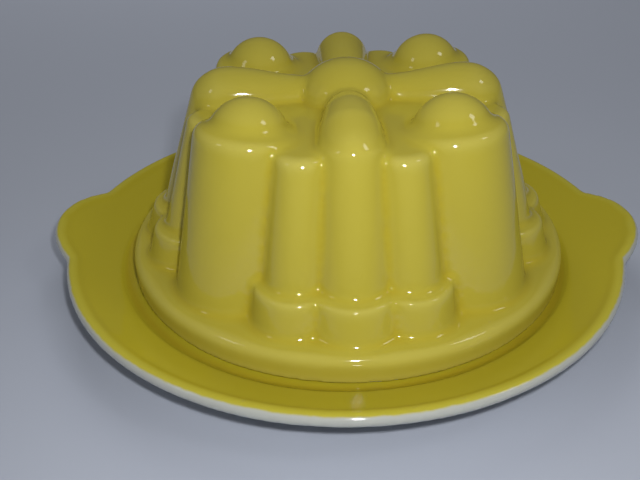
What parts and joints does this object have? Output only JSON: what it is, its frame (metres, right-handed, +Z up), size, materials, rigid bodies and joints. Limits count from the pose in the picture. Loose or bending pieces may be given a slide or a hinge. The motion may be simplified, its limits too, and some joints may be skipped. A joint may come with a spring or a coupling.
{
  "type": "pudding mould",
  "caption": "Glazed pottery pudding mould of clustered tapering columns under a domed crown, standing upturned in its round plate with lug handles.",
  "frame": {"origin": "the middle of the plate's foot ring, on the table", "axes": "+Z up, +X along the plate's lug handles, -Y towards the front"},
  "size_m": [0.2772, 0.2584, 0.1005],
  "materials": {
    "mould_glaze": "lemon yellow gloss glaze",
    "plate_glaze": "lemon yellow gloss glaze on top, white gloss glaze on the edge and underneath"
  },
  "bodies": {
    "root": {"mould": "mould_glaze", "plate": "plate_glaze"}
  },
  "joints": []
}
